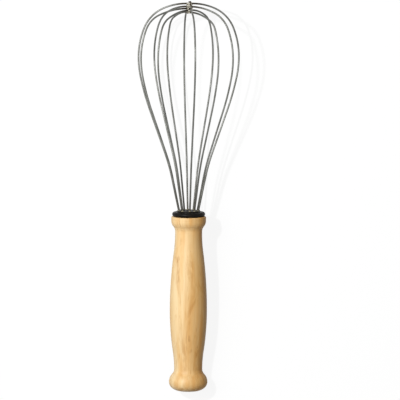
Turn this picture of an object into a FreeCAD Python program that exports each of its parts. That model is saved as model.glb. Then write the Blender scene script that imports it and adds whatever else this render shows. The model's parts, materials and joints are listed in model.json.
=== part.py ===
import FreeCAD, Part

# Balloon whisk: five bent wire loops and one binding wire, held by a black cap
# and a resin plug in the end of a turned wooden handle.
#
# Every piece is built upright in the whisk's own frame.  Z is the axis of the
# handle, Z = 0 is the end face of the wood, the wires rise above it and the
# handle hangs below it.  One common placement then lays the whisk on its side,
# head towards +Y, on two neighbouring wires and the knob of the handle.

import math
import os

import Sketcher

V = FreeCAD.Vector
AXIS = V(0, 0, 1)

# ------------------------------------------------------------------ dimensions

DIMENSIONS = {
    # turned handle, heights measured up from the butt
    "handle_length": 137.4,
    "butt_radius": 10.3,
    "knob_radius": 6.0,
    "knob_diameter": 30.2,
    "knob_height": 7.0,
    "waist_diameter": 22.0,
    "waist_height": 17.2,
    "swell_diameter": 29.1,
    "swell_height": 63.6,
    # how each blend between two stations is shared: the first arc's part of it
    "knob_share": 0.593,
    "waist_share": 0.295,
    "swell_share": 0.774,
    "cove_share": 0.474,
    # neck, depths measured down from the end face
    "throat_diameter": 21.1,
    "throat_depth": 13.8,
    "throat_length": 2.0,
    "flange_diameter": 27.2,
    "flange_width": 3.4,
    "flange_edge_radius": 0.9,
    "bore_diameter": 16.4,
    "bore_depth": 27.0,
    # black cap
    "cap_diameter": 25.8,
    "cap_thickness": 3.6,
    "boss_margin": 1.6,
    "boss_height": 1.0,
    "boss_edge_radius": 0.6,
    "spigot_length": 2.5,
    "spigot_clearance": 0.1,
    "wire_hole_clearance": 0.1,
    # resin plug under the cap, above the floor of the bore
    "plug_clearance": 1.5,
    # wires, radii and heights of the centre line
    "wire_diameter": 1.4,
    "tail_inset": 1.7,
    "tail_clearance": 6.0,
    "root_bend_radius": 14.0,
    "root_step": 1.1,
    "root_angle": 12.0,
    "root_straight": 27.6,
    "flare_length": 19.9,
    "flank_length": 26.5,
    "belly_angle": 12.0,
    "belly_radius": 75.0,
    "balloon_radius": 39.6,
    "balloon_height": 124.5,
    "crown_height": 35.0,
    "upper_ratio": 1.708,
    "upper_angle": 22.0,
    "shoulder_angle": 66.0,
    "crossing_radius": 2.2,
    # crossing at the top of the balloon
    "stack_clearance": 0.05,
    "top_loop_gap": 0.95,
    "binding_diameter": 5.4,
    "binding_cover": 0.9,
    "binding_edge_radius": 1.0,
    "nub_diameter": 2.2,
    "nub_height": 0.2,
}

# Directions of the two legs of each loop, in degrees round the axis, from the
# lowest crossing to the highest.  270 faces straight out of the front.
LOOP_LEGS = [(305, 116), (233, 62), (277, 96), (329, 134), (12, 175)]
BINDING_LEG = 200

# The two neighbouring legs that the whisk lies on.
RESTING_LEGS = (62, 96)

# Loop whose level the binding wire's own leg comes in at.
BINDING_LEVEL = 2

# Legs nearer than this to opposite each other cross the axis in a straight run.
STRAIGHT_CROSSING = math.radians(0.1)

# Bounds of the searches for the slope of a leg's flank and for the angle at
# which the whisk lies.
STEEPEST_FLANK = math.radians(60)
STEEPEST_TILT = math.radians(30)
ANGLE_PRECISION = math.radians(1e-12)


def make_sheet(document):
    """Spreadsheet with one plain number for each driving dimension."""
    cells = document.addObject("Spreadsheet::Sheet", "dims")
    for row, (name, value) in enumerate(DIMENSIONS.items(), start=1):
        cells.set("A%d" % row, name)
        cells.set("B%d" % row, str(value))
        cells.setAlias("B%d" % row, name)
    document.recompute()
    return cells


doc = FreeCAD.newDocument("balloon_whisk")
sheet = make_sheet(doc)


def size(name):
    """Value of one cell of the sheet, in millimetres or degrees."""
    return float(sheet.get(name))


# ------------------------------------------------------------- turned outlines

def origin_plane(body, role):
    """One of a body's own origin planes."""
    for feature in body.Origin.OriginFeatures:
        if feature.Role == role:
            return feature
    raise ValueError(role)


def outline_sketch(body, name, start, runs):
    """Closed half outline of a turned piece: X is the radius, Y the height.

    A point is a pair of expressions on the sheet.  A run is (point,) for a
    straight line to it, or (point, radius, side) for an arc whose centre lies
    to the left (+1) or to the right (-1) of the way the outline travels.
    """
    sketch = body.newObject("Sketcher::SketchObject", name)
    sketch.AttachmentSupport = [(origin_plane(body, "XZ_Plane"), "")]
    sketch.MapMode = "FlatFace"

    def value(expression):
        return float(sketch.evalExpression(expression))

    def rule(expression, *arguments):
        index = sketch.addConstraint(Sketcher.Constraint(*arguments))
        sketch.setExpression("Constraints[%d]" % index, expression)

    def pin(curve, end, point):
        for kind, axis, expression in (("DistanceX", -2, point[0]), ("DistanceY", -1, point[1])):
            if expression == "0":
                sketch.addConstraint(Sketcher.Constraint("PointOnObject", curve, end, axis))
            else:
                rule(expression, kind, -1, 1, curve, end, value(expression))

    ends = []
    from_point = start
    for to_point, *arc in runs:
        here = V(value(from_point[0]), value(from_point[1]), 0)
        there = V(value(to_point[0]), value(to_point[1]), 0)
        begin, end = 1, 2
        if arc:
            radius, side = value(arc[0]), arc[1]
            chord = there - here
            reach = math.sqrt(max(radius ** 2 - (chord.Length / 2) ** 2, 0.0))
            centre = (here + there) * 0.5 + V(-chord.y, chord.x, 0).normalize() * (side * reach)
            angles = [math.atan2(p.y - centre.y, p.x - centre.x) for p in (here, there)]
            if side < 0:
                begin, end = 2, 1
                angles.reverse()
            shape = Part.ArcOfCircle(Part.Circle(centre, AXIS, radius), *angles)
        else:
            shape = Part.LineSegment(here, there)
        curve = sketch.addGeometry(shape, False)
        if arc:
            rule(arc[0], "Radius", curve, radius)
        if ends:
            sketch.addConstraint(Sketcher.Constraint("Coincident", *ends[-1], curve, begin))
        else:
            first_end = (curve, begin)
        pin(curve, end, to_point)
        ends.append((curve, end))
        from_point = to_point
    sketch.addConstraint(Sketcher.Constraint("Coincident", *ends[-1], *first_end))
    return sketch


def turned_body(name, start, runs):
    """PartDesign body made by turning a half outline round Z."""
    body = doc.addObject("PartDesign::Body", name)
    turn = body.newObject("PartDesign::Revolution", name + "_turning")
    turn.Profile = outline_sketch(body, name + "_outline", start, runs)
    turn.ReferenceAxis = (turn.Profile[0], ["V_Axis"])
    turn.Angle = 360
    doc.recompute()
    return body


def s_curve(low, high, share, side):
    """Two arcs joining stations whose tangents are both upright.

    Their radii add up to (dx^2 + dy^2) / (2 dx), and they meet on the chord in
    proportion to them.  The first arc, at the station `low`, takes the share.
    """
    (x_low, y_low), (x_high, y_high) = low, high
    rise = "((%s) - (%s))" % (y_high, y_low)
    step = "abs((%s) - (%s))" % (x_high, x_low)
    radii = "((%s ^ 2 + %s ^ 2) / (2 * %s))" % (rise, step, step)
    x_meet = "(%s) + %s * ((%s) - (%s))" % (x_low, share, x_high, x_low)
    y_meet = "(%s) + %s * %s" % (y_low, share, rise)
    return [((x_meet, y_meet), "%s * %s" % (share, radii), side),
            (high, "(1 - %s) * %s" % (share, radii), -side)]


# ------------------------------------------------------------------ the handle

def from_butt(alias):
    """Height in the whisk's frame of a height measured up from the butt."""
    return "dims.%s - dims.handle_length" % alias


def make_handle():
    """Turned wooden handle: knob, waist, swell, throat and flange, bored for the wires."""
    butt = "-dims.handle_length"
    lean = "asin((dims.butt_radius - dims.knob_height) / (dims.butt_radius - dims.knob_radius))"
    knob = ("dims.knob_diameter / 2", from_butt("knob_height"))
    knob_low = ("dims.knob_diameter / 2 - dims.knob_radius * (1 - cos(%s))" % lean,
                "dims.knob_height - dims.handle_length - dims.knob_radius * sin(%s)" % lean)
    butt_edge = ("%s - dims.butt_radius * cos(%s)" % (knob_low[0], lean), butt)
    waist = ("dims.waist_diameter / 2", from_butt("waist_height"))
    swell = ("dims.swell_diameter / 2", from_butt("swell_height"))
    throat = ("dims.throat_diameter / 2", "-dims.throat_depth")
    throat_top = (throat[0], "dims.throat_length - dims.throat_depth")
    flange = ("dims.flange_diameter / 2", "-dims.flange_width")
    edge_start = (flange[0], "-dims.flange_edge_radius")
    edge_end = ("dims.flange_diameter / 2 - dims.flange_edge_radius", "0")
    runs = [
        (butt_edge,),
        (knob_low, "dims.butt_radius", 1),
        (knob, "dims.knob_radius", 1),
    ]
    runs += s_curve(knob, waist, "dims.knob_share", 1)
    runs += s_curve(waist, swell, "dims.waist_share", -1)
    runs += s_curve(swell, throat, "dims.swell_share", 1)
    runs.append((throat_top,))
    runs += s_curve(throat_top, flange, "dims.cove_share", -1)
    runs += [(edge_start,), (edge_end, "dims.flange_edge_radius", 1), (("0", "0"),), (("0", butt),)]
    body = turned_body("handle", ("0", butt), runs)
    solid_wood = body.Shape.Volume

    bore = body.newObject("Sketcher::SketchObject", "handle_bore_circle")
    bore.AttachmentSupport = [(origin_plane(body, "XY_Plane"), "")]
    bore.MapMode = "FlatFace"
    bore.addGeometry(Part.Circle(V(0, 0, 0), AXIS, size("bore_diameter") / 2), False)
    bore.addConstraint(Sketcher.Constraint("Coincident", 0, 3, -1, 1))
    bore.addConstraint(Sketcher.Constraint("Diameter", 0, size("bore_diameter")))
    bore.setExpression("Constraints[1]", "dims.bore_diameter")
    pocket = body.newObject("PartDesign::Pocket", "handle_bore")
    pocket.Profile = bore
    pocket.setExpression("Length", "dims.bore_depth")
    doc.recompute()
    if body.Shape.Volume >= solid_wood:
        raise RuntimeError("the bore cuts nothing")
    return body


# ------------------------------------------------------------------- the wires

def leg_direction(azimuth):
    return V(math.cos(math.radians(azimuth)), math.sin(math.radians(azimuth)), 0)


def tail_circle():
    """Radius of the circle that the wires' tails stand on inside the bore."""
    return size("bore_diameter") / 2 - size("tail_inset")


def root_circle():
    """Radius of the circle on which the wires leave the cap's disc."""
    return tail_circle() + size("root_step")


def tail_end():
    """Depth of the tails' ends under the end face."""
    return size("bore_depth") - size("tail_clearance")


def crossing_level(index):
    """Height of the centre line where a loop crosses the axis."""
    pitch = size("wire_diameter") + size("stack_clearance")
    level = size("balloon_height") + size("crown_height") + pitch * index
    if index == len(LOOP_LEGS) - 1:
        level += size("top_loop_gap")
    return level


def halved(low, high, is_low):
    """Angle between two bounds up to which is_low holds, found by halving."""
    while high - low > ANGLE_PRECISION:
        middle = (low + high) / 2
        if is_low(middle):
            low = middle
        else:
            high = middle
    return low


def flank_run(root, belly):
    """Slope of a leg's flank and the length of its straight.

    The slope is the one at which the leg, led out from the root circle at the
    cap's face, reaches the balloon's radius at the balloon's height.  Two long
    arcs of given length lead into the flank and out of it.
    """
    def straight(flank):
        """Straight that brings the leg to the balloon's height, and how far out that is."""
        out = root_circle() + size("root_straight") * math.sin(root)
        along = size("balloon_height") - size("cap_thickness")
        along -= size("root_straight") * math.cos(root)
        arcs = ((size("flare_length") / (flank - root), root, flank),
                (size("flank_length") / (belly - flank), flank, belly),
                (-size("belly_radius"), belly, 0.0))
        for radius, start, end in arcs:
            out += radius * (math.cos(start) - math.cos(end))
            along -= radius * (math.sin(end) - math.sin(start))
        length = along / math.cos(flank)
        return length, out + length * math.sin(flank)

    flank = halved(0.0, STEEPEST_FLANK, lambda angle: straight(angle)[1] < size("balloon_radius"))
    return flank, straight(flank)[0]


def leg_runs(level):
    """Outline of one leg from its tail to the crossing.

    Each run is (length,) for a straight or (radius, turn) for an arc, and the
    lengths and radii that are not driving sizes come from the points that the
    leg has to reach: the root circle, the balloon's equator and the crossing.
    """
    root = math.radians(size("root_angle"))
    belly = math.radians(size("belly_angle"))
    upper = math.radians(size("upper_angle"))
    shoulder = math.radians(size("shoulder_angle"))

    bend = size("root_bend_radius")
    lead = (size("root_step") - bend * (1 - math.cos(root))) / math.sin(root)
    bend_start = size("cap_thickness") - lead * math.cos(root) - bend * math.sin(root)
    tail = bend_start + tail_end()

    flank, flank_straight = flank_run(root, belly)

    upper_radius = size("upper_ratio") * size("crown_height")
    crown_out = (size("balloon_radius") - upper_radius * (1 - math.cos(upper))
                 - size("crossing_radius"))
    crown_up = level - size("balloon_height") - upper_radius * math.sin(upper)
    shoulder_out = math.cos(upper) - math.cos(shoulder)
    shoulder_up = math.sin(shoulder) - math.sin(upper)
    crown_rise = 1 - math.sin(shoulder)
    share = shoulder_out * crown_rise - shoulder_up * math.cos(shoulder)
    shoulder_radius = (crown_out * crown_rise - crown_up * math.cos(shoulder)) / share
    crown_radius = (shoulder_out * crown_up - shoulder_up * crown_out) / share

    return [(tail,), (bend, root), (lead + size("root_straight"),),
            (size("flare_length") / abs(flank - root), flank - root), (flank_straight,),
            (size("flank_length") / abs(belly - flank), belly - flank),
            (size("belly_radius"), -belly),
            (upper_radius, -upper), (shoulder_radius, upper - shoulder),
            (crown_radius, shoulder - math.pi / 2)]


def leg_edges(azimuth, level):
    """Edges of one leg's centre line, in the upright plane of its direction."""
    outward = leg_direction(azimuth)

    def place(x, z):
        return outward * x + AXIS * z

    x, z, heading = tail_circle(), -tail_end(), 0.0
    edges = []
    for run in leg_runs(level):
        if len(run) == 1:
            x_end, z_end = x + run[0] * math.sin(heading), z + run[0] * math.cos(heading)
            edges.append(Part.LineSegment(place(x, z), place(x_end, z_end)).toShape())
        else:
            radius, turn = run
            way = math.copysign(radius, turn)
            half, full = heading + turn / 2, heading + turn
            points = [place(x, z)]
            for angle in (half, full):
                x_end = x + way * (math.cos(heading) - math.cos(angle))
                z_end = z + way * (math.sin(angle) - math.sin(heading))
                points.append(place(x_end, z_end))
            edges.append(Part.Arc(*points).toShape())
            heading = full
        x, z = x_end, z_end
    return edges


def crossing_edge(first, second, level):
    """Level run over the axis, bent in plan where the two legs are not opposite."""
    reach = size("crossing_radius")
    start, end = leg_direction(first) * reach, leg_direction(second) * reach
    height = AXIS * level
    middle = (start + end) * 0.5
    bend = math.pi - start.getAngle(end)
    if bend < STRAIGHT_CROSSING:
        return Part.LineSegment(start + height, end + height).toShape()
    middle = middle.normalize() * (reach * math.tan(bend / 4))
    return Part.Arc(start + height, middle + height, end + height).toShape()


def swept_wire(edges):
    """Round wire along a chain of edges."""
    path = Part.Wire(Part.__sortEdges__(edges))
    start = path.OrderedVertexes[0].Point
    circle = Part.Circle(start, AXIS, size("wire_diameter") / 2)
    section = Part.Wire([circle.toShape()])
    return path.makePipeShell([section], True, False)


def make_loop(index):
    """One continuous wire: up one leg, across the axis and down the other."""
    first, second = LOOP_LEGS[index]
    level = crossing_level(index)
    edges = leg_edges(first, level) + [crossing_edge(first, second, level)]
    edges += leg_edges(second, level)
    loop = doc.addObject("Part::Feature", "wire_loop_%d" % (index + 1))
    loop.Shape = swept_wire(edges)
    return loop


def binding_shape(loops):
    """The sixth wire: one leg, its lashing round the crossing and the clipped end.

    The lashing is one rounded barrel with the crossing wires passing through.
    """
    leg = swept_wire(leg_edges(BINDING_LEG, crossing_level(BINDING_LEVEL)))
    top = crossing_level(len(LOOP_LEGS) - 1) + size("binding_cover")
    bottom = crossing_level(0) - size("binding_cover")
    barrel = Part.makeCylinder(size("binding_diameter") / 2, top - bottom, AXIS * bottom)
    barrel = barrel.makeFillet(size("binding_edge_radius"), barrel.Edges[0:1] + barrel.Edges[2:3])
    nub_radius = size("nub_diameter") / 2
    nub = Part.makeCylinder(nub_radius, size("nub_height"), AXIS * top)
    nub = nub.fuse(Part.makeSphere(nub_radius, AXIS * (top + size("nub_height"))))
    lashing = barrel.fuse([nub, leg])
    return lashing.cut([loop.Shape for loop in loops]).removeSplitter()


def make_binding(loops):
    binding = doc.addObject("Part::Feature", "binding_wire")
    binding.Shape = binding_shape(loops)
    return binding


# ------------------------------------------------------------ cap and resin plug

def make_cap(azimuths):
    """Black cap on the end of the wood: spigot, round-edged disc and low boss."""
    spigot = "dims.bore_diameter / 2 - dims.spigot_clearance"
    edge = "dims.cap_thickness / 2"
    disc = "dims.cap_diameter / 2 - " + edge
    boss = "(dims.bore_diameter / 2 - dims.tail_inset + dims.root_step + dims.boss_margin)"
    boss_top = "dims.cap_thickness + dims.boss_height"
    runs = [
        ((spigot, "-dims.spigot_length"),),
        ((spigot, "0"),),
        ((disc, "0"),),
        (("dims.cap_diameter / 2", edge), edge, 1),
        ((disc, "dims.cap_thickness"), edge, 1),
        ((boss, "dims.cap_thickness"),),
        ((boss, boss_top + " - dims.boss_edge_radius"),),
        ((boss + " - dims.boss_edge_radius", boss_top), "dims.boss_edge_radius", 1),
        (("0", boss_top),),
        (("0", "-dims.spigot_length"),),
    ]
    blank = turned_body("cap_blank", ("0", "-dims.spigot_length"), runs)
    drills = [make_drill(azimuth) for azimuth in azimuths]
    cap = doc.addObject("Part::Cut", "wire_cap")
    tools = doc.addObject("Part::MultiFuse", "cap_wire_holes")
    tools.Shapes = drills
    cap.Base = blank
    cap.Tool = tools
    doc.recompute()
    return [blank] + drills, cap


def make_drill(azimuth):
    """Hole for one leg, along the leg's own curve with a little clearance."""
    edges = leg_edges(azimuth, crossing_level(0))[:3]
    path = Part.Wire(edges)
    radius = size("wire_diameter") / 2 + size("wire_hole_clearance")
    circle = Part.Circle(path.OrderedVertexes[0].Point, AXIS, radius)
    drill = doc.addObject("Part::Feature", "wire_hole_%d" % azimuth)
    drill.Shape = path.makePipeShell([Part.Wire([circle.toShape()])], True, False)
    return drill


def make_plug(wires):
    """Hardened resin that fills the bore under the cap and grips the tails."""
    wall = "dims.bore_diameter / 2"
    top = "-dims.spigot_length"
    foot = "dims.plug_clearance - dims.bore_depth"
    runs = [((wall, foot),), ((wall, top),), (("0", top),), (("0", foot),)]
    blank = turned_body("plug_blank", ("0", foot), runs)
    plug = doc.addObject("Part::Cut", "resin_plug")
    tools = doc.addObject("Part::MultiFuse", "plug_wires")
    tools.Shapes = wires
    plug.Base = blank
    plug.Tool = tools
    doc.recompute()
    return blank, plug


# -------------------------------------------------------------- laid on its side

def lying_tilt(half_gap):
    """Angle by which the axis climbs to the head, and the height of Z = 0.

    The two resting legs touch the ground on their belly arcs, and the handle on
    the lower arc of its knob.  How far each reaches down is the reach of its
    arc's centre plus its radius, and the tilt is where the two are the same.
    """
    belly_centre = size("balloon_radius") - size("belly_radius")
    knob_centre = size("knob_diameter") / 2 - size("knob_radius")
    knob_height = size("knob_height") - size("handle_length")

    def wire_reach(tilt):
        down = math.cos(half_gap) * math.cos(tilt)
        arc = size("belly_radius") * math.hypot(down, math.sin(tilt))
        centre = down * belly_centre - math.sin(tilt) * size("balloon_height")
        return centre + arc + size("wire_diameter") / 2

    def knob_reach(tilt):
        centre = math.cos(tilt) * knob_centre - math.sin(tilt) * knob_height
        return centre + size("knob_radius")

    tilt = halved(0.0, STEEPEST_TILT, lambda angle: wire_reach(angle) > knob_reach(angle))
    return tilt, wire_reach(tilt)


def lying_placement(pieces):
    """Whisk on its side: the origin is under the middle of its outer box."""
    first, second = RESTING_LEGS
    roll = FreeCAD.Rotation(AXIS, 90 - (first + second) / 2)
    tilt, height = lying_tilt(math.radians(abs(second - first) / 2))
    side = FreeCAD.Rotation(V(1, 0, 0), math.degrees(tilt) - 90)
    placement = FreeCAD.Placement(V(0, 0, height), side.multiply(roll))
    lain = [piece.Shape.transformed(placement.toMatrix()) for piece in pieces]
    box = Part.makeCompound(lain).optimalBoundingBox(False, False)
    placement.Base = V(-box.Center.x, -box.Center.y, height)
    return placement


# ----------------------------------------------------------------------- build

def check_and_write(pieces):
    """Write one file for each piece, once every object is known to be sound."""
    for item in doc.Objects:
        if "Invalid" in item.State or "Error" in item.State:
            raise RuntimeError("failed: " + item.Name)
    for piece in pieces:
        if piece.Shape.isNull() or not piece.Shape.isValid():
            raise RuntimeError("bad shape: " + piece.Name)
    os.makedirs("parts", exist_ok=True)
    for piece in pieces:
        piece.Label = piece.Name
        piece.Shape.exportStep("parts/%s.step" % piece.Label)
        solids = len(piece.Shape.Solids)
        print("%-14s %d solid, %9.1f mm3" % (piece.Label, solids, piece.Shape.Volume))
    box = Part.makeCompound([piece.Shape for piece in pieces]).optimalBoundingBox(False, False)
    print("box %.1f x %.1f x %.1f mm, lowest %.3f" % (box.XLength, box.YLength, box.ZLength, box.ZMin))


loops = [make_loop(index) for index in range(len(LOOP_LEGS))]
binding_wire = make_binding(loops)
wires = loops + [binding_wire]
azimuths = sorted([leg for legs in LOOP_LEGS for leg in legs] + [BINDING_LEG])
handle = make_handle()
cap_stock, wire_cap = make_cap(azimuths)
plug_stock, resin_plug = make_plug(wires)
pieces = [handle, wire_cap, resin_plug] + wires

# The cuts follow their stock and tools, so only those are laid down.
laid = lying_placement(pieces)
for item in [handle, plug_stock] + cap_stock + wires:
    item.Placement = laid
doc.recompute()
check_and_write(pieces)
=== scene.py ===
import json
import math

import bmesh
import bpy
import numpy as np
from mathutils import Matrix, Vector


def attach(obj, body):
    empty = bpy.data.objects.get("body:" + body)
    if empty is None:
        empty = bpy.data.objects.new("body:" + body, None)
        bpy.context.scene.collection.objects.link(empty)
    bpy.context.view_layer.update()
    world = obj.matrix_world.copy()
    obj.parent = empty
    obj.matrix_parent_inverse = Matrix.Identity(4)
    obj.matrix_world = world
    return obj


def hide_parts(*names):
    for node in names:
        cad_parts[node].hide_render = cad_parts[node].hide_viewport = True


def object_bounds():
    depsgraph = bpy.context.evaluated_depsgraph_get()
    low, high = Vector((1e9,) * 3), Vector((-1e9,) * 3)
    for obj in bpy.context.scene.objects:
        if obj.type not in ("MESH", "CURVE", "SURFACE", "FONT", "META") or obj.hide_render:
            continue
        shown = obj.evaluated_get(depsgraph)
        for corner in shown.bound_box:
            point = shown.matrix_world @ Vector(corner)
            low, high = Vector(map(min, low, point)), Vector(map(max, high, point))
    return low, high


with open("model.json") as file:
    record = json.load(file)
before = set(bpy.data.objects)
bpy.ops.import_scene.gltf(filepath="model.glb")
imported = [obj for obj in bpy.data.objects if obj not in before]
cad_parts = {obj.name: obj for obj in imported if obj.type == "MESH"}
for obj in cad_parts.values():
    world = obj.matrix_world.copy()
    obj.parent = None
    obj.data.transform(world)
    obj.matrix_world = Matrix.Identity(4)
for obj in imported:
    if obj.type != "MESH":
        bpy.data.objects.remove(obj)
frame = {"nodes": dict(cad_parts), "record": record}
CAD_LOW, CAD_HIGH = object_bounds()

# A balloon whisk lying on its side.  The whisk's own frame is used throughout:
# Z runs along the handle's axis to the crown of the balloon, Z = 0 is the end
# face of the wood, and X points to the right as the whisk is looked down on.

MM = 0.001

# ------------------------------------------------------------- the whisk's frame

HANDLE_LENGTH = 137.4 * MM
ROLL = math.radians(11.0)


def whisk_frame():
    """Matrix from the whisk's frame to the row frame.

    The butt mount gives a point on the axis and the axis itself.  The frame is
    rolled about that axis so that the whisk rests on two neighbouring wires.
    """
    butt = next(mount for mount in frame["record"]["mounts"] if mount["name"] == "butt_face")
    along = -Vector(butt["axis"]).normalized()
    across = Vector((1.0, 0.0, 0.0))
    depth = along.cross(across).normalized()
    place = Matrix((across, depth, along)).transposed().to_4x4()
    place.translation = Vector(butt["pos_m"]) + along * HANDLE_LENGTH
    return place @ Matrix.Rotation(ROLL, 4, "Z")


WHISK = whisk_frame()
TO_WHISK = WHISK.inverted()


def laid(points):
    """Points of the whisk's frame, as rows, carried into the row frame."""
    turn = np.array(WHISK.to_3x3())
    return points @ turn.T + np.array(WHISK.translation)


def linked(name, data):
    """New object of the scene that holds the data."""
    holder = bpy.data.objects.new(name, data)
    bpy.context.scene.collection.objects.link(holder)
    return holder


# ------------------------------------------------------------------ node helpers

NODE_SPACING = (220, 120)
NODE_LANES = 3
MIX_AMOUNT, MIX_FIRST, MIX_SECOND, MIX_COLOUR = 0, 6, 7, 2


def named_group(name, inputs, outputs):
    """Empty shader node group with its sockets; inputs are (name, kind, value)."""
    group = bpy.data.node_groups.new(name, "ShaderNodeTree")
    for socket, kind, value in inputs:
        made = group.interface.new_socket(name=socket, in_out="INPUT", socket_type=kind)
        if value is not None:
            made.default_value = value
    for socket, kind in outputs:
        group.interface.new_socket(name=socket, in_out="OUTPUT", socket_type=kind)
    return group


class Bench:
    """Places and joins the nodes of one material or group."""

    def __init__(self, tree):
        self.tree = tree
        self.step = 0

    def node(self, kind, **settings):
        made = self.tree.nodes.new(kind)
        made.location = (NODE_SPACING[0] * self.step, -NODE_SPACING[1] * (self.step % NODE_LANES))
        self.step += 1
        for name, value in settings.items():
            setattr(made, name, value)
        return made

    def feed(self, socket, value):
        """Joins an output to an input, or sets the input's own value."""
        if isinstance(value, bpy.types.NodeSocket):
            self.tree.links.new(value, socket)
        else:
            socket.default_value = value

    def sums(self, operation, first, second=0.0, third=None):
        made = self.node("ShaderNodeMath", operation=operation)
        self.feed(made.inputs[0], first)
        self.feed(made.inputs[1], second)
        if third is not None:
            self.feed(made.inputs[2], third)
        return made.outputs[0]

    def share(self, value, part):
        """A part of a value."""
        return self.sums("MULTIPLY", value, part)

    def add(self, base, value, part):
        """A base with a part of a value added to it."""
        return self.sums("MULTIPLY_ADD", value, part, base)

    def ramp(self, value, low, high, to_low=0.0, to_high=1.0):
        """Smooth step from one level to another between two values."""
        made = self.node("ShaderNodeMapRange", interpolation_type="SMOOTHSTEP")
        for socket, number in zip(made.inputs, (value, low, high, to_low, to_high)):
            self.feed(socket, number)
        return made.outputs[0]

    def noise(self, place, scale, detail=3.0, roughness=0.55, distortion=0.0):
        made = self.node("ShaderNodeTexNoise")
        self.feed(made.inputs["Vector"], place)
        for socket, number in (("Scale", scale), ("Detail", detail), ("Roughness", roughness),
                               ("Distortion", distortion)):
            self.feed(made.inputs[socket], number)
        return made.outputs["Fac"]

    def grain(self, place, across, along, **settings):
        """Noise drawn out along the axis; across and along are cells per metre."""
        made = self.node("ShaderNodeMapping")
        self.feed(made.inputs["Vector"], place)
        made.inputs["Scale"].default_value = (across, across, along)
        return self.noise(made.outputs["Vector"], 1.0, **settings)

    def mix(self, amount, first, second, blend="MIX"):
        made = self.node("ShaderNodeMix", data_type="RGBA", blend_type=blend)
        self.feed(made.inputs[MIX_AMOUNT], amount)
        self.feed(made.inputs[MIX_FIRST], first)
        self.feed(made.inputs[MIX_SECOND], second)
        return made.outputs[MIX_COLOUR]

    def in_whisk(self):
        """Object coordinates turned and centred to the whisk's frame."""
        made = self.node("ShaderNodeMapping")
        self.feed(made.inputs["Vector"], self.node("ShaderNodeTexCoord").outputs["Object"])
        made.inputs["Location"].default_value = TO_WHISK.translation
        made.inputs["Rotation"].default_value = TO_WHISK.to_euler("XYZ")
        return made.outputs["Vector"]

    def apart(self, place):
        """The X, Y and Z of a place."""
        made = self.node("ShaderNodeSeparateXYZ")
        self.feed(made.inputs[0], place)
        return made.outputs

    def group(self, tree, **values):
        made = self.node("ShaderNodeGroup", node_tree=tree)
        for name, value in values.items():
            self.feed(made.inputs[name.replace("_", " ")], value)
        return made.outputs


SRGB_KNEE, SRGB_SLOPE, SRGB_LIFT, SRGB_POWER = 0.04045, 12.92, 0.055, 2.4


def rgb(red, green, blue):
    """Linear colour of a colour given as it is seen, each part out of 255."""
    seen = np.array((red, green, blue)) / 255.0
    curve = ((seen + SRGB_LIFT) / (1.0 + SRGB_LIFT)) ** SRGB_POWER
    linear = np.where(seen <= SRGB_KNEE, seen / SRGB_SLOPE, curve)
    return (*linear.tolist(), 1.0)


# ------------------------------------------------------------ shared effects

RING_WAVER = 0.4 * MM


def make_handling():
    """Group: soft patches and fine specks that years of handling leave on a surface."""
    tree = named_group("handling_wear", [("Place", "NodeSocketVector", None),
                                         ("Patch Scale", "NodeSocketFloat", 60.0),
                                         ("Speck Scale", "NodeSocketFloat", 900.0)],
                       [("Patches", "NodeSocketFloat"), ("Specks", "NodeSocketFloat")])
    bench = Bench(tree)
    given = bench.node("NodeGroupInput").outputs
    out = bench.node("NodeGroupOutput").inputs
    patches = bench.noise(given["Place"], given["Patch Scale"], detail=4.0, roughness=0.6)
    specks = bench.noise(given["Place"], given["Speck Scale"], detail=2.0, roughness=0.5)
    bench.feed(out["Patches"], bench.ramp(patches, low=0.35, high=0.65))
    bench.feed(out["Specks"], bench.ramp(specks, low=0.6, high=0.75))
    return tree


def make_turning():
    """Group: the fine rings that a turning tool or a mould leaves round the axis."""
    tree = named_group("turning_rings", [("Place", "NodeSocketVector", None),
                                         ("Pitch", "NodeSocketFloat", 1.0 * MM)],
                       [("Rings", "NodeSocketFloat")])
    bench = Bench(tree)
    given = bench.node("NodeGroupInput").outputs
    out = bench.node("NodeGroupOutput").inputs
    waver = bench.noise(given["Place"], scale=35.0, detail=2.0)
    height = bench.add(bench.apart(given["Place"])["Z"], waver, RING_WAVER)
    turns = bench.sums("DIVIDE", height, given["Pitch"])
    line = bench.node("ShaderNodeTexNoise", noise_dimensions="1D")
    bench.feed(line.inputs["W"], turns)
    line.inputs["Scale"].default_value = 1.0
    line.inputs["Detail"].default_value = 2.0
    bench.feed(out["Rings"], line.outputs["Fac"])
    return tree


HANDLING = make_handling()
TURNING = make_turning()


def node_of(tree, kind):
    """The tree's own node of a kind."""
    return next(node for node in tree.nodes if node.type == kind)


def new_material(name):
    """Material with a Principled shader; returns it, its bench and the shader."""
    material = bpy.data.materials.new(name)
    material.use_nodes = True
    return material, Bench(material.node_tree), node_of(material.node_tree, "BSDF_PRINCIPLED")


def bump(bench, shader, height, depth, strength):
    made = bench.node("ShaderNodeBump")
    bench.feed(made.inputs["Height"], height)
    made.inputs["Distance"].default_value = depth
    made.inputs["Strength"].default_value = strength
    bench.feed(shader.inputs["Normal"], made.outputs["Normal"])


# ---------------------------------------------------------------- wood

PALE_WOOD = rgb(241, 215, 168)
WARM_WOOD = rgb(232, 191, 130)
GROWTH_LINE = rgb(192, 140, 76)
FLECK = rgb(158, 96, 40)
# Tint of the darker side away from the lamp: partly the wood's warmer colour, partly painted
# shade.
SHADED_SIDE_TINT = (0.84, 0.60, 0.27, 1.0)

# The growth rings: the pith's place beside the axis, a ring's width, how many
# rings it wanders by, and the part of a ring in which the late wood darkens.
PITH = (55.0 * MM, 22.0 * MM)
RING_WIDTH = 3.4 * MM
RING_WANDER = 3.4
LATE_WOOD = (0.55, 0.97)

# How strongly each part of the figure shows in the colour, and how strongly the painted shade on
# the side away from the lamp does.
RING_SHADE = 0.11
CLOUD_SHADE = 0.50
FIBRE_SHADE = 0.14
FLECK_SHADE = 0.45
PATCH_SHADE = 0.10
TOOL_SHADE = 0.22
SHADED_SIDE_STRENGTH = 0.85
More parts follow.
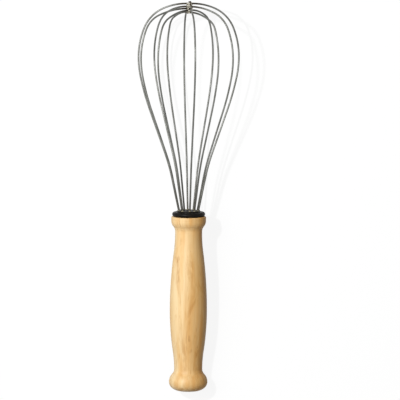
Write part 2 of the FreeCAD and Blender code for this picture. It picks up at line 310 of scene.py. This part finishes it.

# The tool marks keep to the collar at the head end. On the side away from the lamp the wood is
# darkened and warmed
# from one side, with an edge that wanders: partly the wood's own warmer colour, partly painted
# shade.
COLLAR = (-14.0 * MM, -9.0 * MM)
SHADED_SIDE_SPAN = (-9.0 * MM, 12.0 * MM)
SHADED_SIDE_WANDER = 6.0 * MM

# The roughness and relief of the surface, and what each part of the figure adds.
WOOD_ROUGHNESS = 0.42
PATCH_ROUGHENS, FIBRE_ROUGHENS = 0.08, 0.10
WOOD_GRAIN_DEPTH = 0.05 * MM
FLECK_RELIEF, TOOL_RELIEF = -0.2, 0.5


def growth_rings(bench, place, parts):
    """Late wood of the rings: their radius from the pith, in rings, bent by a slow noise."""
    bent = bench.grain(place, across=28.0, along=5.0, detail=3.0)
    east = bench.sums("SUBTRACT", parts["X"], PITH[0])
    north = bench.sums("SUBTRACT", parts["Y"], PITH[1])
    squares = bench.sums("MULTIPLY_ADD", east, east, bench.sums("MULTIPLY", north, north))
    reach = bench.sums("DIVIDE", bench.sums("SQRT", squares), RING_WIDTH)
    year = bench.sums("FRACT", bench.add(reach, bent, RING_WANDER))
    darkens = bench.ramp(year, *LATE_WOOD)
    return bench.sums("MULTIPLY", darkens, bench.ramp(year, 1.0, LATE_WOOD[1]))


def make_wood():
    """Turned pale beech: growth rings about a pith beside the handle, pores, ray flecks."""
    material, bench, shader = new_material("turned_beech")
    place = bench.in_whisk()
    parts = bench.apart(place)
    wear = bench.group(HANDLING, Place=place, Patch_Scale=38.0, Speck_Scale=1100.0)
    rings = bench.group(TURNING, Place=place, Pitch=0.55 * MM)["Rings"]
    late = growth_rings(bench, place, parts)

    fibres = bench.grain(place, across=1500.0, along=40.0, detail=4.0, roughness=0.6)
    broad = bench.grain(place, across=140.0, along=15.0, detail=3.0)
    cloud = bench.grain(place, across=110.0, along=24.0, detail=4.0, roughness=0.6, distortion=1.1)
    fleck_field = bench.grain(place, across=1000.0, along=110.0, detail=1.5, roughness=0.4)
    fleck_area = bench.grain(place, across=90.0, along=30.0, detail=2.0)
    fleck = bench.sums("MULTIPLY", bench.ramp(fleck_field, low=0.60, high=0.72),
                       bench.ramp(fleck_area, low=0.43, high=0.62))

    colour = bench.mix(bench.ramp(broad, low=0.3, high=0.7), PALE_WOOD, WARM_WOOD)
    colour = bench.mix(bench.share(late, RING_SHADE), colour, GROWTH_LINE)
    clouded = bench.ramp(cloud, low=0.47, high=0.70, to_high=CLOUD_SHADE)
    colour = bench.mix(clouded, colour, GROWTH_LINE)
    lined = bench.ramp(fibres, low=0.45, high=0.75, to_high=FIBRE_SHADE)
    colour = bench.mix(lined, colour, GROWTH_LINE)
    colour = bench.mix(bench.share(fleck, FLECK_SHADE), colour, FLECK)
    colour = bench.mix(bench.share(wear["Patches"], PATCH_SHADE), colour, WARM_WOOD)
    scored = bench.sums("MULTIPLY", bench.ramp(rings, low=0.45, high=0.62),
                        bench.ramp(parts["Z"], *COLLAR))
    colour = bench.mix(bench.share(scored, TOOL_SHADE), colour, GROWTH_LINE)
    # Painted shade, partly also warmer wood: the side away from the lamp is darkened and warmed,
    # with a wandering edge.
    painted_side_shade = bench.ramp(bench.add(parts["X"], broad, SHADED_SIDE_WANDER), *SHADED_SIDE_SPAN)
    mottle = bench.ramp(cloud, low=0.36, high=0.60, to_low=0.75)
    painted_side_shade = bench.sums("MULTIPLY", painted_side_shade, mottle)
    colour = bench.mix(bench.share(painted_side_shade, SHADED_SIDE_STRENGTH), colour, SHADED_SIDE_TINT, "MULTIPLY")
    bench.feed(shader.inputs["Base Color"], colour)

    rough = bench.add(WOOD_ROUGHNESS, wear["Patches"], PATCH_ROUGHENS)
    bench.feed(shader.inputs["Roughness"], bench.add(rough, fibres, FIBRE_ROUGHENS))
    relief = bench.add(bench.add(fibres, fleck, FLECK_RELIEF), rings, TOOL_RELIEF)
    bump(bench, shader, relief, WOOD_GRAIN_DEPTH, strength=0.45)
    shader.inputs["Specular IOR Level"].default_value = 0.30
    return material


# ---------------------------------------------------------------- cap and resin

CAP_DEEP = rgb(5, 4, 3)
CAP_WORN = rgb(17, 13, 7)
DUST = rgb(70, 62, 50)
BUBBLE = rgb(222, 190, 132)
DUST_SHADE, BUBBLE_SHADE = 0.30, 0.5
CAP_ROUGHNESS, CAP_ROUGHENS = 0.38, 0.14
RESIN_ROUGHNESS, RESIN_ROUGHENS = 0.12, 0.2
CAP_SKIN_DEPTH = 0.03 * MM
MOULDING_RELIEF = 0.6
BUBBLE_DEPTH = 0.05 * MM


def make_black_cap():
    """Black moulded cap: satin skin with faint moulding rings, dust and rubbed patches."""
    material, bench, shader = new_material("black_moulding")
    place = bench.in_whisk()
    wear = bench.group(HANDLING, Place=place, Patch_Scale=150.0, Speck_Scale=1600.0)
    rings = bench.group(TURNING, Place=place, Pitch=0.8 * MM)["Rings"]
    skin = bench.noise(place, scale=4200.0, detail=2.0)
    colour = bench.mix(wear["Patches"], CAP_DEEP, CAP_WORN)
    colour = bench.mix(bench.share(wear["Specks"], DUST_SHADE), colour, DUST)
    bench.feed(shader.inputs["Base Color"], colour)
    rough = bench.add(CAP_ROUGHNESS, wear["Patches"], CAP_ROUGHENS)
    bench.feed(shader.inputs["Roughness"], rough)
    shader.inputs["Specular IOR Level"].default_value = 0.10
    bump(bench, shader, bench.add(skin, rings, MOULDING_RELIEF), CAP_SKIN_DEPTH, strength=0.4)
    return material


def make_resin(name, deep, pale):
    """Hardened resin with cloudy patches and small bubbles."""
    material, bench, shader = new_material(name)
    place = bench.in_whisk()
    wear = bench.group(HANDLING, Place=place, Patch_Scale=220.0, Speck_Scale=1300.0)
    colour = bench.mix(wear["Patches"], deep, pale)
    colour = bench.mix(bench.share(wear["Specks"], BUBBLE_SHADE), colour, BUBBLE)
    bench.feed(shader.inputs["Base Color"], colour)
    rough = bench.add(RESIN_ROUGHNESS, wear["Patches"], RESIN_ROUGHENS)
    bench.feed(shader.inputs["Roughness"], rough)
    bump(bench, shader, wear["Specks"], BUBBLE_DEPTH, strength=0.4)
    return material


# ---------------------------------------------------------------- steel

CROWN = (0.0, 0.0, 163.0 * MM)
STAIN = rgb(50, 42, 29)
ROOT_GRIME = rgb(58, 54, 46)
ROOT_REACH = (3.0 * MM, 55.0 * MM)
PITTING = rgb(84, 82, 76)
DRAW_LINE_SHADE, ROOT_SHADE, PITTING_SHADE = 0.4, 0.62, 0.3
STAIN_CORE = 0.25
STEEL_ROUGHNESS, DULL_ROUGHENS, DRAW_LINE_ROUGHENS = 0.44, 0.08, 0.06
DRAW_LINE_DEPTH = 0.010 * MM


def make_steel(name, bright, dull, stain_reach, stain_amount):
    """Drawn steel wire: lengthwise draw lines, dull patches, and a stain about the crown."""
    material, bench, shader = new_material(name)
    place = bench.in_whisk()
    wear = bench.group(HANDLING, Place=place, Patch_Scale=85.0, Speck_Scale=1500.0)
    lines = bench.grain(place, across=1400.0, along=90.0, detail=2.0, roughness=0.5)
    colour = bench.mix(wear["Patches"], bright, dull)
    drawn = bench.ramp(lines, low=0.4, high=0.72, to_high=DRAW_LINE_SHADE)
    colour = bench.mix(drawn, colour, dull)
    reach = bench.node("ShaderNodeVectorMath", operation="DISTANCE")
    bench.feed(reach.inputs[0], place)
    reach.inputs[1].default_value = CROWN
    stain = bench.ramp(reach.outputs["Value"], low=stain_reach * STAIN_CORE, high=stain_reach,
                       to_low=stain_amount, to_high=0.0)
    colour = bench.mix(stain, colour, STAIN)
    root = bench.ramp(bench.apart(place)["Z"], *ROOT_REACH, to_low=ROOT_SHADE, to_high=0.0)
    colour = bench.mix(root, colour, ROOT_GRIME)
    colour = bench.mix(bench.share(wear["Specks"], PITTING_SHADE), colour, PITTING)
    bench.feed(shader.inputs["Base Color"], colour)
    rough = bench.add(STEEL_ROUGHNESS, wear["Patches"], DULL_ROUGHENS)
    bench.feed(shader.inputs["Roughness"], bench.add(rough, lines, DRAW_LINE_ROUGHENS))
    shader.inputs["Metallic"].default_value = 1.0
    bump(bench, shader, lines, DRAW_LINE_DEPTH, strength=0.15)
    return material


# ------------------------------------------------------------ making of meshes

MERGE_DISTANCE = 1e-6


def ring_quads(rows, sides):
    """Faces between each ring of points and the next, for one ring more than rows."""
    row, column = np.meshgrid(np.arange(rows), np.arange(sides), indexing="ij")
    after = (column + 1) % sides
    corners = (row * sides + column, row * sides + after,
               (row + 1) * sides + after, (row + 1) * sides + column)
    return np.stack(corners, axis=-1).reshape(-1, 4)


def new_piece(name, points, faces):
    """Smooth mesh piece of points in millimetres of the whisk's frame."""
    mesh = bpy.data.meshes.new(name)
    mesh.from_pydata(laid(points * MM).tolist(), [], faces)
    mesh.polygons.foreach_set("use_smooth", np.ones(len(mesh.polygons), bool))
    mesh.update()
    return linked(name, mesh)


def carried(name, path, toward, radius, sides):
    """Round wire carried along a path, in millimetres of the whisk's frame.

    At each point of the path the ring is radius times (cos v * side +
    sin v * other), where side is the part of `toward` square to the path and
    other is square to both.  Each end is closed by a fan about the path's end.
    """
    run = np.gradient(path, axis=0)
    run /= np.linalg.norm(run, axis=1, keepdims=True)
    side = toward - run * np.sum(toward * run, axis=1, keepdims=True)
    side /= np.linalg.norm(side, axis=1, keepdims=True)
    other = np.cross(run, side)
    size = np.broadcast_to(np.asarray(radius, float), (len(path),))
    turn = np.linspace(0.0, 2.0 * math.pi, sides, endpoint=False)[None, :, None]
    ring = np.cos(turn) * side[:, None] + np.sin(turn) * other[:, None]
    skin = path[:, None] + ring * size[:, None, None]
    points = np.concatenate([skin.reshape(-1, 3), path[:1], path[-1:]])
    spoke = np.arange(sides)
    after = (spoke + 1) % sides
    last = (len(path) - 1) * sides
    foot, tip = len(path) * sides, len(path) * sides + 1
    fans = np.concatenate([np.stack([np.full(sides, foot), after, spoke], axis=-1),
                           np.stack([np.full(sides, tip), last + spoke, last + after], axis=-1)])
    return new_piece(name, points, ring_quads(len(path) - 1, sides).tolist() + fans.tolist())


def tidy_up(piece):
    """Merges points that lie on each other and turns the faces outwards."""
    work = bmesh.new()
    work.from_mesh(piece.data)
    bmesh.ops.remove_doubles(work, verts=work.verts, dist=MERGE_DISTANCE)
    bmesh.ops.recalc_face_normals(work, faces=work.faces)
    work.to_mesh(piece.data)
    work.free()


# ---------------------------------------------------------- the binding wire's leg
# Lengths and radii of this part and the next two are millimetres.

WIRE_RADIUS = 0.7
BINDING_LEG = math.radians(200.0)
LEG_LEVEL = 162.4
BALLOON_RADIUS = 39.6
BALLOON_HEIGHT = 124.5
CROSSING_REACH = 2.2

TAIL_OUT, TAIL_END = 6.5, -21.0
TAIL_LENGTH = 17.954
ROOT_ARC, ROOT_TURN = 14.0, math.radians(12.0)
ROOT_LENGTH = 31.41
FLARE_ARC, FLANK_TURN = 150.0, math.radians(7.6)
FLANK_LENGTH = 35.76
FLANK_ARC = 200.0
BELLY_ARC = 75.0
UPPER_ARC, UPPER_TURN = 59.78, math.radians(22.0)
SHOULDER_TURN = math.radians(66.0)
CROWN_TURN = math.radians(90.0)
LEG_STATIONS = 900
LEG_SIDES = 12


def arc(radius, turn):
    """Length and turn of one arc of the leg."""
    return radius * abs(turn), turn


def leg_profile(level):
    """Distance out and height along one leg, from the tail in the resin to the crossing.

    The leg is a chain of straights and arcs: the heading changes evenly along
    each arc, and the place is the running sum of the heading's sine and cosine.
    The shoulder and crown arcs are sized so that the leg ends at its crossing.
    """
    out = BALLOON_RADIUS - UPPER_ARC * (1 - math.cos(UPPER_TURN)) - CROSSING_REACH
    up = level - BALLOON_HEIGHT - UPPER_ARC * math.sin(UPPER_TURN)
    side = math.cos(UPPER_TURN) - math.cos(SHOULDER_TURN)
    rise = math.sin(SHOULDER_TURN) - math.sin(UPPER_TURN)
    top = 1 - math.sin(SHOULDER_TURN)
    share = side * top - rise * math.cos(SHOULDER_TURN)
    shoulder_arc = (out * top - up * math.cos(SHOULDER_TURN)) / share
    crown_arc = (side * up - rise * out) / share
    runs = np.array([(TAIL_LENGTH, 0.0), arc(ROOT_ARC, ROOT_TURN), (ROOT_LENGTH, 0.0),
                     arc(FLARE_ARC, FLANK_TURN), (FLANK_LENGTH, 0.0),
                     arc(FLANK_ARC, -FLANK_TURN), arc(BELLY_ARC, -ROOT_TURN),
                     arc(UPPER_ARC, -UPPER_TURN), arc(shoulder_arc, UPPER_TURN - SHOULDER_TURN),
                     arc(crown_arc, SHOULDER_TURN - CROWN_TURN)])
    joins = np.concatenate([np.zeros((1, 2)), np.cumsum(runs, axis=0)])
    travel = np.linspace(0.0, joins[-1, 0], LEG_STATIONS)
    heading = np.interp(travel, joins[:, 0], joins[:, 1])
    step = np.diff(travel)
    middle = (heading[1:] + heading[:-1]) / 2
    x = TAIL_OUT + np.concatenate([[0.0], np.cumsum(step * np.sin(middle))])
    z = TAIL_END + np.concatenate([[0.0], np.cumsum(step * np.cos(middle))])
    return x, z


def make_leg():
    """The binding wire's one leg, ending inside the lashing."""
    x, z = leg_profile(LEG_LEVEL)
    path = np.stack([x * math.cos(BINDING_LEG), x * math.sin(BINDING_LEG), z], axis=-1)
    across = np.array([-math.sin(BINDING_LEG), math.cos(BINDING_LEG), 0.0])
    return carried("binding_leg", path, np.broadcast_to(across, path.shape), WIRE_RADIUS,
                   LEG_SIDES)


# ----------------------------------------------------- the lashing and its ends

STACK_LOW, STACK_HIGH = 159.5, 166.25
LASH_RADIUS = 2.0
LASH_TURNS = 5.5
LASH_WIRE = 0.66
LASH_OVERRUN = 0.6
LASH_GATHER, GATHER_POWER = 0.30, 6
LASH_INSET = 0.04
LASH_SWELL = (0.04, 5.0, 0.7)
LASH_DIP = (0.16, 3.0, 1.1)
LASH_STATIONS = 620

TWIST_TOPS = (168.1, 167.8)
TWIST_PHASE = 0.4
TWIST_TURNS = 1.1
TWIST_REACH = 0.56
TWIST_TAPER = 0.25
TWIST_LEAN = 0.35
TWIST_SIDE = (1.0, 0.0, 0.15)
TWIST_WIRE = 0.6
TWIST_TIP = 0.86
TWIST_STATIONS = 130

HOOK_FACING = math.radians(292.0)
HOOK_START = 0.4
HOOK_REACH = 1.95
HOOK_LIFT = 0.2
HOOK_RISE = 0.8
HOOK_DROP = 2.1
HOOK_BEND_SHARE = 0.55
HOOK_WIRE = 0.5
HOOK_TIP = 0.93
HOOK_STATIONS = 120

TIP_ROUND = 0.97
STRAND_SIDES = 14


def ripple(turn, depth, waves, start):
    """Wave of a depth, so many times a turn, from a starting angle."""
    return depth * np.sin(waves * turn + start)


def make_lashing():
    """Turns of the binding wire round the stack of crossing wires.

    A helix about the axis: its height climbs evenly from under the lowest wire
    to over the highest, its radius draws in at both ends and swells and dips a
    little as the turns ride over the crossing wires.
    """
    share = np.linspace(0.0, 1.0, LASH_STATIONS)
    turn = share * LASH_TURNS * 2.0 * math.pi + BINDING_LEG
    climb = STACK_HIGH - STACK_LOW + 2.0 * LASH_OVERRUN
    height = STACK_LOW - LASH_OVERRUN + share * climb + ripple(turn, *LASH_DIP)
    gather = 1.0 - LASH_GATHER * np.abs(2.0 * share - 1.0) ** GATHER_POWER
    radius = LASH_RADIUS * gather * (1.0 + ripple(turn, *LASH_SWELL)) - LASH_INSET
    path = np.stack([radius * np.cos(turn), radius * np.sin(turn), height], axis=-1)
    upward = np.broadcast_to([0.0, 0.0, 1.0], path.shape)
    return carried("binding_lashing", path, upward, LASH_WIRE, STRAND_SIDES)


def make_twist(name, phase, top):
    """One of the two strands twisted together and clipped off over the lashing.

    A tight helix leaning slightly sideways; the last part rounds off to a tip.
    """
    share = np.linspace(0.0, 1.0, TWIST_STATIONS)
    turn = phase + share * TWIST_TURNS * 2.0 * math.pi
    reach = TWIST_REACH * (1.0 - TWIST_TAPER * share)
    low = STACK_HIGH - LASH_OVERRUN
    path = np.stack([reach * np.cos(turn) + TWIST_LEAN * share, reach * np.sin(turn),
                     low + share * (top - low)], axis=-1)
    end = np.clip((share - TWIST_TIP) / (1.0 - TWIST_TIP), 0.0, 1.0)
    size = TWIST_WIRE * np.sqrt(1.0 - (end * TIP_ROUND) ** 2)
    return carried(name, path, np.broadcast_to(TWIST_SIDE, path.shape), size, STRAND_SIDES)


def make_hook():
    """Loose end of the lashing, hooked down over the turns from under the twist.

    A quarter turn out over the edge of the lashing and a short drop down its front.
    """
    share = np.linspace(0.0, 1.0, HOOK_STATIONS)
    swing = np.clip(share / HOOK_BEND_SHARE, 0.0, 1.0) * math.pi / 2
    drop = np.clip((share - HOOK_BEND_SHARE) / (1.0 - HOOK_BEND_SHARE), 0.0, 1.0)
    out = HOOK_START + HOOK_REACH * np.sin(swing)
    height = STACK_HIGH + HOOK_LIFT + HOOK_RISE * np.cos(swing) - HOOK_DROP * drop
    path = np.stack([out * math.cos(HOOK_FACING), out * math.sin(HOOK_FACING), height], axis=-1)
    across = np.array([-math.sin(HOOK_FACING), math.cos(HOOK_FACING), 0.0])
    end = np.clip((share - HOOK_TIP) / (1.0 - HOOK_TIP), 0.0, TIP_ROUND)
    size = HOOK_WIRE * np.sqrt(1.0 - end ** 2)
    return carried("binding_hook", path, np.broadcast_to(across, path.shape), size, LEG_SIDES)


# ------------------------------------------------------------ the wires' feet

LEGS = np.radians((12.0, 62.0, 96.0, 116.0, 134.0, 175.0, 200.0, 233.0, 277.0, 305.0, 329.0))
BOSS_TOP = 4.6
FOOT_CIRCLE = 7.81
LEG_LEAN = math.radians(12.0)
BEAD_NECK, BEAD_FLARE = 0.66, 0.74
BEAD_SUNK, BEAD_CLIMB = 0.05, 0.95
BEAD_ROWS, BEAD_SIDES = 6, 16


def make_foot_beads():
    """Collars of hardened resin that crept up each wire where it leaves the cap.

    Each collar is a hollow-sided ring: its radius falls from the foot to the
    top as the neck plus the flare times the square of what is left, while it
    climbs along the leaning leg.  All eleven are one mesh of the same grid.
    """
    share = np.linspace(0.0, 1.0, BEAD_ROWS)
    turn = np.linspace(0.0, 2.0 * math.pi, BEAD_SIDES, endpoint=False)
    reach = np.concatenate([BEAD_NECK + BEAD_FLARE * (1.0 - share) ** 2, [0.0]])[:, None]
    climb = np.concatenate([BEAD_CLIMB * share, [BEAD_CLIMB]])[:, None] - BEAD_SUNK
    out = reach * np.cos(turn) + climb * math.sin(LEG_LEAN) + FOOT_CIRCLE
    across = reach * np.sin(turn)
    height = np.broadcast_to(climb * math.cos(LEG_LEAN) + BOSS_TOP, out.shape)
    cosine, sine = np.cos(LEGS)[:, None, None], np.sin(LEGS)[:, None, None]
    points = np.stack([out * cosine - across * sine, out * sine + across * cosine,
                       np.broadcast_to(height, (len(LEGS), *out.shape))], axis=-1)
    start = (np.arange(len(LEGS)) * out.size)[:, None]
    quads = (start[:, None] + ring_quads(BEAD_ROWS, BEAD_SIDES)).reshape(-1, 4)
    feet = start + np.arange(BEAD_SIDES)[::-1]
    piece = new_piece("foot_beads", points.reshape(-1, 3), quads.tolist() + feet.tolist())
    tidy_up(piece)
    return piece


# ------------------------------------------------------------- finishing pieces

WOOD = make_wood()
CAP = make_black_cap()
RESIN = make_resin("amber_resin", rgb(150, 96, 38), rgb(186, 132, 62))
RESIN_SKIN = make_resin("crept_resin", rgb(84, 80, 62), rgb(128, 122, 98))
STEEL = make_steel("drawn_steel", rgb(126, 127, 123), rgb(100, 101, 96),
                   stain_reach=17.0 * MM, stain_amount=0.92)
LASHED_STEEL = make_steel("lashed_steel", rgb(184, 181, 170), rgb(120, 114, 100),
                          stain_reach=3.0 * MM, stain_amount=0.05)
DARK_STEEL = make_steel("clipped_steel", rgb(70, 61, 52), rgb(44, 38, 31),
                        stain_reach=6.0 * MM, stain_amount=0.4)
NODE_FINISH = {"handle": WOOD, "wire_cap": CAP, "resin_plug": RESIN}


def finish(piece, material):
    """Gives a piece one material in every slot."""
    if piece.material_slots:
        for held in piece.material_slots:
            held.material = material
    else:
        piece.data.materials.append(material)


for name, node in frame["nodes"].items():
    finish(node, NODE_FINISH.get(name, STEEL))

binding = [(make_leg(), STEEL), (make_lashing(), LASHED_STEEL),
           (make_twist("binding_twist_a", TWIST_PHASE, TWIST_TOPS[0]), DARK_STEEL),
           (make_twist("binding_twist_b", TWIST_PHASE + math.pi, TWIST_TOPS[1]), DARK_STEEL),
           (make_hook(), DARK_STEEL)]
for piece, material in binding:
    finish(piece, material)
    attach(piece, "root")
    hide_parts("binding_wire")

beads = make_foot_beads()
finish(beads, RESIN_SKIN)
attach(beads, "root")


# ------------------------------------------------------------------ the setting

FLOOR_SIZE = 6.0
FLOOR_GREY = 0.10
FLOOR_GLOW = 0.896
FLOOR_ROUGHNESS = 0.9
SURROUND = 0.26


def lights_seen(bench):
    """One for a ray from the camera or off a glossy or clear surface, else nought."""
    path = bench.node("ShaderNodeLightPath").outputs
    seen = bench.sums("MAXIMUM", path["Is Camera Ray"], path["Is Glossy Ray"])
    return bench.sums("MAXIMUM", seen, path["Is Transmission Ray"])


def make_floor():
    """Pale floor that shows white and keeps a faint shadow of the whisk."""
    mesh = bpy.data.meshes.new("studio_floor")
    half = FLOOR_SIZE / 2
    corners = [(-half, -half, 0.0), (half, -half, 0.0), (half, half, 0.0), (-half, half, 0.0)]
    mesh.from_pydata(corners, [], [(0, 1, 2, 3)])
    material, bench, shader = new_material("pale_floor")
    shader.inputs["Base Color"].default_value = (FLOOR_GREY, FLOOR_GREY, FLOOR_GREY, 1.0)
    shader.inputs["Roughness"].default_value = FLOOR_ROUGHNESS
    shader.inputs["Specular IOR Level"].default_value = 0.0
    glow = bench.node("ShaderNodeEmission")
    bench.feed(glow.inputs["Strength"], bench.share(lights_seen(bench), FLOOR_GLOW))
    both = bench.node("ShaderNodeAddShader")
    bench.feed(both.inputs[0], shader.outputs[0])
    bench.feed(both.inputs[1], glow.outputs[0])
    bench.feed(node_of(bench.tree, "OUTPUT_MATERIAL").inputs["Surface"], both.outputs[0])
    mesh.materials.append(material)
    linked("studio_floor", mesh)


def make_world():
    """Even pale surround: plain light on the whisk, white where it is seen."""
    world = bpy.data.worlds.new("studio")
    bpy.context.scene.world = world
    world.use_nodes = True
    bench = Bench(world.node_tree)
    back = node_of(world.node_tree, "BACKGROUND")
    back.inputs["Color"].default_value = (1.0, 1.0, 1.0, 1.0)
    strength = bench.add(SURROUND, lights_seen(bench), 1.0 - SURROUND)
    bench.feed(back.inputs["Strength"], strength)


def make_lamp(name, place, aim, size, power):
    """Square soft lamp at a place, turned to a point, both in the row frame."""
    lamp = bpy.data.lights.new(name, "AREA")
    lamp.shape, lamp.size, lamp.energy = "SQUARE", size, power
    holder = linked(name, lamp)
    holder.location = place
    holder.rotation_mode = "QUATERNION"
    holder.rotation_quaternion = (Vector(aim) - Vector(place)).to_track_quat("-Z", "Y")


MIDDLE = (CAD_LOW + CAD_HIGH) / 2
make_floor()
make_world()
make_lamp("key_lamp", (-0.30, 0.26, 1.20), MIDDLE, size=0.05, power=10.6)
make_lamp("side_lamp", (-0.60, 0.20, 1.05), MIDDLE, size=0.90, power=5.2)

# ------------------------------------------------------------------- the camera

LIFT = math.radians(6.0)
LEAN = math.radians(0.2)
VIEW_WIDTH = 0.3122
VIEW_DISTANCE = 3.0
VIEW_CENTRE = (8.8 * MM, 0.0, 12.9 * MM)
SENSOR_WIDTH = 36.0
NEAREST, FURTHEST = 0.01, 50.0


def make_camera():
    """Camera looking down on the front of the whisk from a little towards the head."""
    camera = bpy.data.cameras.new("camera")
    holder = linked("camera", camera)
    back = Vector((0.0, -math.cos(LIFT), math.sin(LIFT)))
    level = Vector((1.0, 0.0, 0.0))
    square = back.cross(level)
    up = square * math.cos(LEAN) - level * math.sin(LEAN)
    right = level * math.cos(LEAN) + square * math.sin(LEAN)
    turn = Matrix((right, up, back)).transposed()
    place = (WHISK.to_3x3() @ turn).to_4x4()
    place.translation = WHISK @ Vector(VIEW_CENTRE) + (WHISK.to_3x3() @ back) * VIEW_DISTANCE
    holder.matrix_world = place
    camera.sensor_width = SENSOR_WIDTH
    camera.lens = SENSOR_WIDTH * VIEW_DISTANCE / VIEW_WIDTH
    camera.clip_start, camera.clip_end = NEAREST, FURTHEST
    bpy.context.scene.camera = holder


make_camera()
bpy.context.scene.view_settings.view_transform = "Standard"
